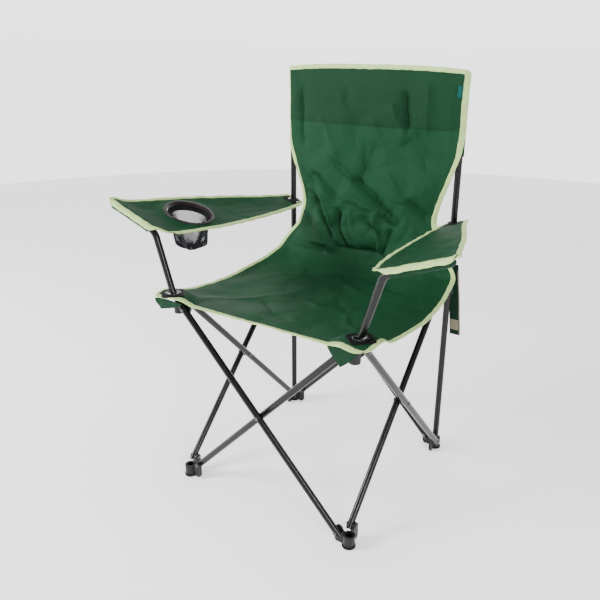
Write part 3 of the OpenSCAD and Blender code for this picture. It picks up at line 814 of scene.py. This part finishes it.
def arm_surface(front, tube_y, seed, cup):
    """The right armrest's cloth: a from 0 to 1 across, t down the cloth."""
    rows = arm_rows(front)

    def base(a, t):
        # front corners are rounded
        for e0 in (0.0, 1.0):
            ca = np.clip(1 - np.abs(a - e0) * FRONT_WIDTH / FRONT_RADIUS, 0, 1)
            cb = np.clip(1 - t / FRONT_RADIUS, 0, 1)
            both = (ca > 0) & (cb > 0)
            ca2, cb2 = ca * np.sqrt(1 - cb * cb / 2), cb * np.sqrt(1 - ca * ca / 2)
            way = 1 if e0 == 0 else -1
            a = np.where(both, e0 + way * (1 - ca2) * FRONT_RADIUS / FRONT_WIDTH, a)
            t = np.where(both, (1 - cb2) * FRONT_RADIUS, t)
        y, xi, xo = rows(t)
        x = xi + (xo - xi) * a
        # the front edge runs back towards the sitter
        y = y + 27 * np.clip((0.25 - a) / 0.25, 0, 1) ** 1.4 * np.exp(-np.clip(t, 0, None) / 70)
        z = RING_Z + SLOPE * (x - HALF)
        # over the tube the cloth rises a little, then drops in front of it
        ahead = np.clip((tube_y - y) / 11.0, 0, 1)
        over = np.clip(4.4 + (x - TIP_BEND[0]) * 0.0523, 0.5, 11)
        z = z + over * np.exp(-(np.clip(y - tube_y, -4, None) / 24) ** 2) - 9.0 * ahead ** 2
        return np.stack([x, y, z], -1)

    def relief(a, t):
        y, xi, xo = rows(t)
        x = xi + (xo - xi) * a
        slack = smoothstep(10, 80, y - tube_y) * (1 - smoothstep(110, 190, y))
        d = -4.5 * slack * np.sin(math.pi * np.clip(a, 0, 1)) ** 1.2
        d = d + (1.4 * perlin(x / 70, y / 90, seed) + 0.7 * perlin(x / 24, y / 34, seed + 1)
                 + 1.3 * (np.clip(cells(x / 60, y / 95, seed + 2) / 0.4, 0, 1) - 0.6)) * (0.25 + slack)
        edge = np.minimum(np.minimum(a, 1 - a) * (xo - xi), 30) / 30
        d = d * (0.25 + 0.75 * smoothstep(0, 1, edge))
        d = d + 1.5 * (1 - smoothstep(0, 0.6, edge)) * perlin(y / 27, a * 0 + np.round(a) * 5.1, seed + 3)
        d = d + 1.3 * np.exp(-((y - front) / 16) ** 2) * perlin(x / 21, y * 0 + 2.2, seed + 4)
        # flat round the cup holder and the rear post
        if cup:
            d = d * smoothstep(60, 84, np.hypot(x - CUP_X, y - CUP_Y))
        return d * smoothstep(15, 34, np.hypot(x - HALF, y - HALF))

    def full(a, t):
        p = base(a, t)
        d = relief(a, t)
        return p + np.stack([-d * SLOPE * 0.95, d * 0, d * 0.95], -1)

    return rows, full


def armrest(suffix, side, front, tube_y, seed, cup):
    """One armrest's cloth, its binding and its seam."""
    rows, right = arm_surface(front, tube_y, seed, cup)
    mirror = np.array([side, 1, 1])

    def f(a, t):
        return right(a, t) * mirror

    def hole(p):
        h = np.hypot(np.abs(p[:, 0]) - HALF, p[:, 1] - HALF) < 14.4
        if cup:
            h |= np.hypot((np.abs(p[:, 0]) - CUP_X) * CUP_LEAN, p[:, 1] - CUP_Y) < CUP_HOLE - 0.3
        return h

    def snap(p):
        out = p.copy()
        x, y = np.abs(p[:, 0]), p[:, 1]
        d = np.hypot(x - HALF, y - HALF)
        m = d < 28
        out[m, 0] = side * (HALF + (x[m] - HALF) / d[m] * POST_HOLE)
        out[m, 1] = HALF + (y[m] - HALF) / d[m] * POST_HOLE
        if cup:
            d = np.hypot((x - CUP_X) * CUP_LEAN, y - CUP_Y)
            m = (d < 66) & (np.hypot(x - HALF, y - HALF) > 28)
            out[m, 0] = side * (CUP_X + (x[m] - CUP_X) / d[m] * CUP_HOLE)
            out[m, 1] = CUP_Y + (y[m] - CUP_Y) / d[m] * CUP_HOLE
        return out

    aa = np.linspace(0, 1, 44)
    tt = np.linspace(0, ARM_LENGTH, 124)
    n0 = surface_normals(f, np.array([0.5]), np.array([200.0]), 0.01, 1.0)[0]
    flip = n0[2] < 0
    sign = -1 if flip else 1

    def uv(a, t):
        return np.stack([a * 160, t], -1)

    def normal(a, t):
        return surface_normals(f, a, t, 0.01, 1.5) * sign

    # painted shade: the armrest's underside takes the darker copy of the green cloth
    arm_cloth = two_sided(f"armrest_cloth_{suffix}", f, aa, tt, 0.008, 1.2, uv, 1.0, green_arm, flip, hole,
                          snap, shaded_green)
    pts = []
    corners = [(0, 0), (1, 0), (1, ARM_LENGTH), (0, ARM_LENGTH), (0, 0)]
    for (a0, t0), (a1, t1) in zip(corners[:-1], corners[1:]):
        n = max(2, int(max(abs(a1 - a0) * 165, abs(t1 - t0)) / 3.4))
        pts += [(a0 + (a1 - a0) * k / n, t0 + (t1 - t0) * k / n) for k in range(n)]
    run = np.array(pts)
    a, t = run[:, 0], run[:, 1]
    _, xi, xo = rows(t)
    width = 9.0
    da = width / (xo - xi)
    ai, ti = np.clip(a, da, 1 - da), np.clip(t, width, ARM_LENGTH - width)
    am, tm = (a + ai) / 2, (t + ti) / 2
    edge_tape = tape(f"armrest_binding_{suffix}", f(a, t), f(ai, ti), f(am, tm), normal(a, t), normal(ai, ti),
                     normal(am, tm), 1.5, 1.3, seed + 9, closed=True)
    q = np.linspace(0.08, 0.94, 150)
    down = np.full_like(q, 34.0)
    seam = stitches(f"arm_seam_{suffix}_1", f(q, down), normal(q, down), thread_green, lift=0.6)
    return arm_cloth, edge_tape, seam


FRONT_L, FRONT_R = -236.05, -213.95
arm_l, arm_tape_l, arm_seam_l = armrest("l", -1, FRONT_L - 10.5, FRONT_L, 61, True)
arm_r, arm_tape_r, arm_seam_r = armrest("r", 1, FRONT_R - 10.5, FRONT_R, 71, False)


def sleeve(name, side, tube_y, seed):
    """The sleeve of cloth under an armrest, round the tip of its tube."""
    d = np.array([math.sin(TIP_LEAN), math.cos(TIP_LEAN)])
    up = np.array([-d[1], d[0]])
    rows, cols = 40, 28
    verts, uv = [], []
    for i in range(rows):
        q = 17 + (136.5 - 17) * i / (rows - 1)
        end = smoothstep(126, 137, q)
        for j in range(cols):
            t = 2 * math.pi * j / cols
            r = 8.7 + 0.35 * wobble(q / 13, math.cos(t) * 1.3 + math.sin(t), seed)
            r = r * (1 - 0.55 * float(end) ** 2)
            yy = tube_y + r * math.cos(t) * (1.0 + 0.05 * math.sin(q / 9))
            rise = r * math.sin(t)
            if rise > 0:
                rise *= 0.93
            x = TIP_BEND[0] + d[0] * q + up[0] * rise
            z = TIP_BEND[1] + d[1] * q + up[1] * rise
            verts.append((side * x, yy, z))
            uv.append((j * 2.2, q))
    verts, uv = np.array(verts), np.array(uv)
    faces = ring_quads(rows, cols) + [tuple((rows - 1) * cols + j for j in range(cols))]
    # painted shade: the sleeve takes the darker copy of the green cloth
    o = new_object(name, place(verts), faces, shaded_green, uv * MM)
    return thicken(o, 0.0008, -1)


sleeve_l = sleeve("arm_tip_sleeve_l", -1, FRONT_L, 81)
sleeve_r = sleeve("arm_tip_sleeve_r", 1, FRONT_R, 82)


# ------------------------------------------------------------------ patches

def patch(name, centre, half, hole_r, turn, height, follow=None, seed=0, squeeze=1.0):
    """A woven patch with a hole, its rim turned down, over a surface of height follow(x)."""
    rings, spokes = 12, 72
    verts, uv = [], []

    def spoke(k, count):
        """A spoke's direction, and how far along it the square with round corners is."""
        ang = 2 * math.pi * k / count
        c, s = math.cos(ang), math.sin(ang)
        return c, s, half * (abs(c) ** 7 + abs(s) ** 7) ** (-1 / 7)

    def turned(x0, y0):
        x = x0 * math.cos(turn) - y0 * math.sin(turn)
        y = x0 * math.sin(turn) + y0 * math.cos(turn)
        return x, y, follow(centre[0] + x) if follow else centre[2]

    for i in range(rings):
        t = i / (rings - 1)
        for j in range(spokes):
            c, s, reach = spoke(j, spokes)
            r = hole_r + (reach - hole_r) * t
            x0, y0 = r * c, r * s * (1 + (squeeze - 1) * t)
            x, y, z = turned(x0, y0)
            drop = 0.55 if i == rings - 1 else 0
            lump = 0.22 * wobble(x / 6, y / 6, seed)
            verts.append((centre[0] + x, centre[1] + y, z + height - drop + lump))
            uv.append((x0, y0))
    for i in (rings - 1, 0):
        for j in range(spokes):
            v = verts[i * spokes + j]
            verts.append((v[0], v[1], v[2] - (0.5 if i else 1.1)))
            uv.append(uv[i * spokes + j])
    low_out, low_in = rings * spokes, rings * spokes + spokes
    faces = []
    for j in range(spokes):
        k = (j + 1) % spokes
        for i in range(rings - 1):
            faces.append((i * spokes + j, (i + 1) * spokes + j, (i + 1) * spokes + k, i * spokes + k))
        last = (rings - 1) * spokes
        faces.append((last + j, low_out + j, low_out + k, last + k))
        faces.append((low_out + j, low_in + j, low_in + k, low_out + k))
        faces.append((low_in + j, j, k, low_in + k))
    o = new_object(name, place(verts), faces, patch_black, np.array(uv) * MM)
    fix_normals(o)
    rows = []
    for inset in (0.9, 0.78):
        loop = []
        for j in range(spokes * 2 + 1):
            c, s, reach = spoke(j, spokes * 2)
            x, y, z = turned(reach * inset * c, reach * inset * s * squeeze)
            loop.append((centre[0] + x, centre[1] + y, z + height))
        rows.append(stitches(f"{name}_stitch_{len(rows) + 1}", loop, [(0, 0, 1)] * len(loop), thread_black,
                             pitch=3.4, length=2.5, r=0.3))
    return [o] + rows


corner_patches = {}
for suffix, (cx, cy) in zip("lr", CORNERS):
    corner_patches[suffix] = patch(f"corner_reinforcement_{suffix}", (cx, cy, 477.6), 25.5, 15.6,
                                   math.radians(45), 0.6, seed=91)


def on_arm(x):
    return RING_Z + SLOPE * (abs(x) - HALF)


arm_patches = {}
for suffix, side in (("l", -1), ("r", 1)):
    arm_patches[suffix] = patch(f"post_reinforcement_{suffix}", (side * HALF, HALF - 4.5, 0), 21.5, 15.4,
                                0.0, 1.5, on_arm, seed=95, squeeze=0.86)


def flap(name, tip, top_x0, top_x1, top_y, tip_y, seed):
    """A flap of cloth that hangs over a front hub and narrows to a tip."""
    rows, cols = 26, 30
    verts, uv = [], []
    for i in range(rows):
        t = i / (rows - 1)
        width = (1 - t ** 1.7) * 0.97 + 0.03
        for j in range(cols):
            q = j / (cols - 1)
            xa = tip[0] + (top_x0 - tip[0]) * width
            xb = tip[0] + (top_x1 - tip[0]) * width
            x = xa + (xb - xa) * q
            z0 = 470.5 - 6.0 * abs(q - 0.5)
            z = z0 + (tip[1] - z0) * (t ** 0.92)
            y = top_y + (tip_y - top_y) * math.sin(t * math.pi / 2)
            y = y + 1.6 * wobble(x / 19, z / 30, seed) - 3.0 * math.sin(math.pi * q) * t
            verts.append((x, y, z))
            uv.append((x, z))
    verts, uv = np.array(verts), np.array(uv)
    # painted shade: the flap takes the darker copy of the green cloth
    o = new_object(name, place(verts), grid_quads(rows, cols), shaded_green, uv * MM)
    return thicken(o, 0.0011)


flap_l = flap("corner_hang_l", (-246, 447), -266, -188, -256.0, -259.0, 101)
flap_r = flap("corner_hang_r", (200, 420), 168, 238, -236.5, -236.0, 102)


# ------------------------------------------------------------------ cup net

def cup_point(r, ang, drop):
    """A point about the cup holder's axis, which leans with the armrest."""
    t = math.atan(SLOPE)
    x, y = r * math.cos(ang), r * math.sin(ang)
    height = RING_Z + SLOPE * (CUP_X - HALF) + x * math.sin(t)
    return (-(CUP_X + x * math.cos(t)), CUP_Y + y, height - drop)


def net():
    """The pouch: one yarn along every edge of a mesh of triangles."""
    rows, cols = 38, 104
    verts = []
    for i in range(rows):
        t = i / (rows - 1)
        for j in range(cols):
            ang = 2 * math.pi * (j + 0.5 * (i % 2)) / cols
            body = 46.5 - 13.0 * t ** 1.1
            fold = 3.6 * math.sin(5 * ang + 1.1) + 2.2 * math.sin(9 * ang + 2.0 * t)
            r = body + fold * smoothstep(0.1, 0.7, t)
            drop = 8.5 + 72 * t + 6.0 * t * math.cos(ang + 1.0)
            if t > 0.8:
                k = (t - 0.8) / 0.2
                r = r * (1 - k) + 2.0 * k
                drop = drop * (1 - k) + 84.0 * k + 1.5 * math.sin(3 * ang) * (1 - k) * k
            verts.append(cup_point(float(r), ang, float(drop)))
    faces = []
    for i in range(rows - 1):
        for j in range(cols):
            k = (j + 1) % cols
            a, b, c, d = i * cols + j, i * cols + k, (i + 1) * cols + k, (i + 1) * cols + j
            if i % 2 == 0:
                faces += [(a, b, d), (b, c, d)]
            else:
                faces += [(a, b, c), (a, c, d)]
    o = new_object("cup_net_mesh", place(verts), faces, net_black,
                   np.array([(v[0] + v[1], v[2]) for v in verts]) * MM)
    mod = o.modifiers.new("yarn", "WIREFRAME")
    mod.thickness = 0.00115
    mod.use_even_offset = False
    mod.use_boundary = True
    apply_modifiers(o)
    return o


cup_net = net()


def hem():
    """The dark band at the top of the net, just under the rim."""
    rows, cols = 5, 72
    verts, uv = [], []
    for i in range(rows):
        for j in range(cols):
            ang = 2 * math.pi * j / cols
            verts.append(cup_point(51.0 + 0.4 * math.sin(9 * ang) - 1.0 * i, ang, 4.6 + 2.6 * i))
            uv.append((ang * 48, i * 2.6))
    o = new_object("cup_net_hem", place(verts), ring_quads(rows, cols), patch_black, np.array(uv) * MM)
    return thicken(o, 0.0009)


net_hem = hem()


# ------------------------------------------------------------------ tab and strap

def ribbon(name, points, width, material, thick, across):
    """A strip along points, with its width direction along X."""
    verts, uv = [], []
    run = 0
    for i, p in enumerate(points):
        if i:
            run += float(np.linalg.norm(np.array(p) - np.array(points[i - 1])))
        for j in range(across + 1):
            q = j / across - 0.5
            bow = 1.1 * (1 - 4 * q * q) * wobble(run / 40, 1.5, 111)
            verts.append((p[0] + width * q, p[1] + bow, p[2]))
            uv.append((width * q, run))
    faces = grid_quads(len(points), across + 1, flip=True)
    o = new_object(name, place(verts), faces, material, np.array(uv) * MM)
    return thicken(o, thick * MM)


def strap_at(z):
    t = (492 - z) / 172.0
    return (227 + 19 * t, 240.6 + 2.2 * math.sin(3.0 * t), z)


def strap_piece(name, top, bottom, count, width, material, thick, dx=0.0, dy=0.0, across=8):
    """A ribbon that follows the strap between two heights, dx and dy away from its middle."""
    path = [strap_at(z) for z in np.linspace(top, bottom, count)]
    return ribbon(name, [(x + dx, y + dy, z) for x, y, z in path], width, material, thick, across)


strap = strap_piece("rear_strap", 494, 322, 60, 25, strap_green, 1.3)
strap_head = strap_piece("rear_strap_head", 500, 458, 18, 27, patch_black, 1.2, dy=1.6)
strap_patch = strap_piece("rear_strap_patch", 361, 335, 12, 21, beige, 0.9, dx=-0.5, dy=1.6)
strap_patch_front = strap_piece("rear_strap_patch_front", 361, 335, 12, 21, beige, 0.9, dx=-0.5, dy=-1.6)
strap_edge = strap_piece("rear_strap_edging", 486, 324, 50, 2.6, beige, 2.4, dx=12.5, across=2)


def tab():
    """A small loop of ribbon folded in two and sewn under the binding."""
    ss = np.linspace(36, 62, 10)
    verts, uv, cols = [], [], 9
    for s in ss:
        p = sling(np.array([0.915, 0.945]), np.array([s, s]))
        n = sling_normal(np.array([0.93]), np.array([s]))[0]
        for j in range(cols):
            t = j / (cols - 1)
            q = p[0] + (p[1] - p[0]) * t * 1.35 + n * (1.0 + 1.4 * math.sin(math.pi * t))
            verts.append(tuple(q))
            uv.append((t * 16, s))
    faces = grid_quads(len(ss), cols, flip=True)
    o = new_object("edge_tab", place(verts), faces, teal, np.array(uv) * MM)
    return thicken(o, 0.0012)


edge_tab = tab()


# ------------------------------------------------------------------ rides

ROOT = "rear_right_post"
KEEP, KEEP_ARM = 0.223, 0.495
RIGHT = (0.225, 0.0, 0.48)


def join_group(objs, body, squash=None):
    """Put pieces on a body, and give each its own mesh when squash is given; squash is an axis, an anchor and
    the width kept.
    """
    for o in objs:
        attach(o, body)
        if squash:
            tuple(squash[0])
            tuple(squash[1])
            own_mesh(o)


side_squash = ((1, 0, 0), RIGHT, KEEP)
join_group([back_cloth] + seam_parts + [back_binding], ROOT, side_squash)
join_group([seat_rear_cloth, rear_binding_l, rear_binding_r], "seat_rear", side_squash)
join_group([seat_front_cloth, front_binding], "seat_front", side_squash)
join_group([pocket_r], ROOT)
join_group([pocket_l], "rear_left_post")
join_group([edge_tab], ROOT, side_squash)
join_group([strap, strap_head, strap_patch, strap_patch_front, strap_edge], ROOT)
arm_anchor = {s: (k * 0.225, 0.225 + SHIFT * MM, 0.603) for s, k in (("l", -1), ("r", 1))}
arm_axis = {"r": (0.23903, -0.96857, 0.06883), "l": (-0.22824, -0.97138, 0.06572)}
join_group([arm_l, arm_tape_l, arm_seam_l], "left_armrest",
           (arm_axis["l"], arm_anchor["l"], KEEP_ARM))
join_group([arm_r, arm_tape_r, arm_seam_r], "right_armrest",
           (arm_axis["r"], arm_anchor["r"], KEEP_ARM))
join_group(arm_patches["l"], "left_arm_ring")
join_group(arm_patches["r"], "right_arm_ring")
join_group(corner_patches["l"], "left_arm_tube")
join_group(corner_patches["r"], "right_arm_tube")
join_group([sleeve_l, flap_l], "left_arm_tube")
join_group([sleeve_r, flap_r], "right_arm_tube")
join_group([cup_net, net_hem], "left_armrest")

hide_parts("back_panel")
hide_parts("seat_rear")
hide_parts("seat_front")
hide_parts("pocket_l")
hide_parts("pocket_r")
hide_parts("side_tab")
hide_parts("hang_strap")
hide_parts("armrest_l")
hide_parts("armrest_r")
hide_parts("arm_sleeve_l")
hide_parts("arm_sleeve_r")
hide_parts("corner_patch_l")
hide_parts("corner_patch_r")
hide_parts("corner_flap_l")
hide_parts("corner_flap_r")
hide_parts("cup_net")


# ------------------------------------------------------------------ stage, light, camera

def studio_surface(name, verts, faces, rough, spec, scale, glow, smooth):
    m = Mat(name, rough=rough, spec=spec)
    grey = m.ramp(m.noise(scale, 2, 0.5), [(0.3, (0.93, 0.93, 0.93, 1)), (0.7, (0.96, 0.96, 0.96, 1))])
    m.link(grey, m.b.inputs["Base Color"])
    m.b.inputs["Emission Color"].default_value = (1, 1, 1, 1)
    m.b.inputs["Emission Strength"].default_value = glow
    new_object(name, verts, faces, m.m, smooth=smooth)


def floor():
    n, width = 40, 24
    line = [(i / n - 0.5) * width for i in range(n + 1)]
    verts = [(x, y, -0.0006) for x in line for y in line]
    studio_surface("studio_floor", verts, grid_quads(n + 1, n + 1), 0.75, 0.2, 0.6, 0.7, False)


def backdrop():
    """A pale wall that curves up from the floor behind the chair."""
    verts, n = [], 24
    for i in range(n + 1):
        t = i / n
        far = 4.2 + 2.4 * math.sin(min(t * 2, 1) * math.pi / 2)
        if t <= 0.5:
            high = 2.4 * (1 - math.cos(t * math.pi)) * 0.5
        else:
            high = 1.2 + 6.0 * (t - 0.5)
        for j in range(n + 1):
            ang = CAMERA_AZ + math.radians(-75 + 150 * j / n)
            verts.append((-math.sin(ang) * far, math.cos(ang) * far, high - 0.003))
    studio_surface("studio_backdrop", verts, grid_quads(n + 1, n + 1, flip=True), 0.9, 0.1, 0.5, 1.3, True)


floor()
backdrop()

world = bpy.context.scene.world or bpy.data.worlds.new("studio")
bpy.context.scene.world = world
world.use_nodes = True
bg = world.node_tree.nodes.get("Background") or world.node_tree.nodes.new("ShaderNodeBackground")
bg.inputs["Color"].default_value = (1, 1, 1, 1)
bg.inputs["Strength"].default_value = 0.5


def area_light(name, at, to, size, power):
    d = bpy.data.lights.new(name, "AREA")
    d.shape = "RECTANGLE"
    d.size, d.size_y = size
    d.energy = power
    o = bpy.data.objects.new(name, d)
    bpy.context.scene.collection.objects.link(o)
    o.location = at
    o.rotation_euler = (Vector(to) - Vector(at)).to_track_quat("-Z", "Y").to_euler()


area_light("key", (-2.2, -2.0, 1.7), (0, 0.1, 0.6), (0.9, 0.9), 150)
area_light("side", (2.3, -1.5, 1.3), (0, 0, 0.5), (0.5, 1.4), 62)
area_light("top", (0.2, 0.5, 2.9), (0, 0, 0.4), (1.4, 1.4), 14)

cam = bpy.data.cameras.new("camera")
cam.sensor_width = 36
cam.lens = 39.53
cam.clip_end = 60
camera = bpy.data.objects.new("camera", cam)
bpy.context.scene.collection.objects.link(camera)
level = math.cos(CAMERA_EL)
back_way = Vector((math.sin(CAMERA_AZ) * level, -math.cos(CAMERA_AZ) * level, math.sin(CAMERA_EL)))
camera.location = (0.7650, -1.20467 + SHIFT * MM, 0.98804)
camera.rotation_euler = back_way.to_track_quat("Z", "Y").to_euler()
bpy.context.scene.camera = camera
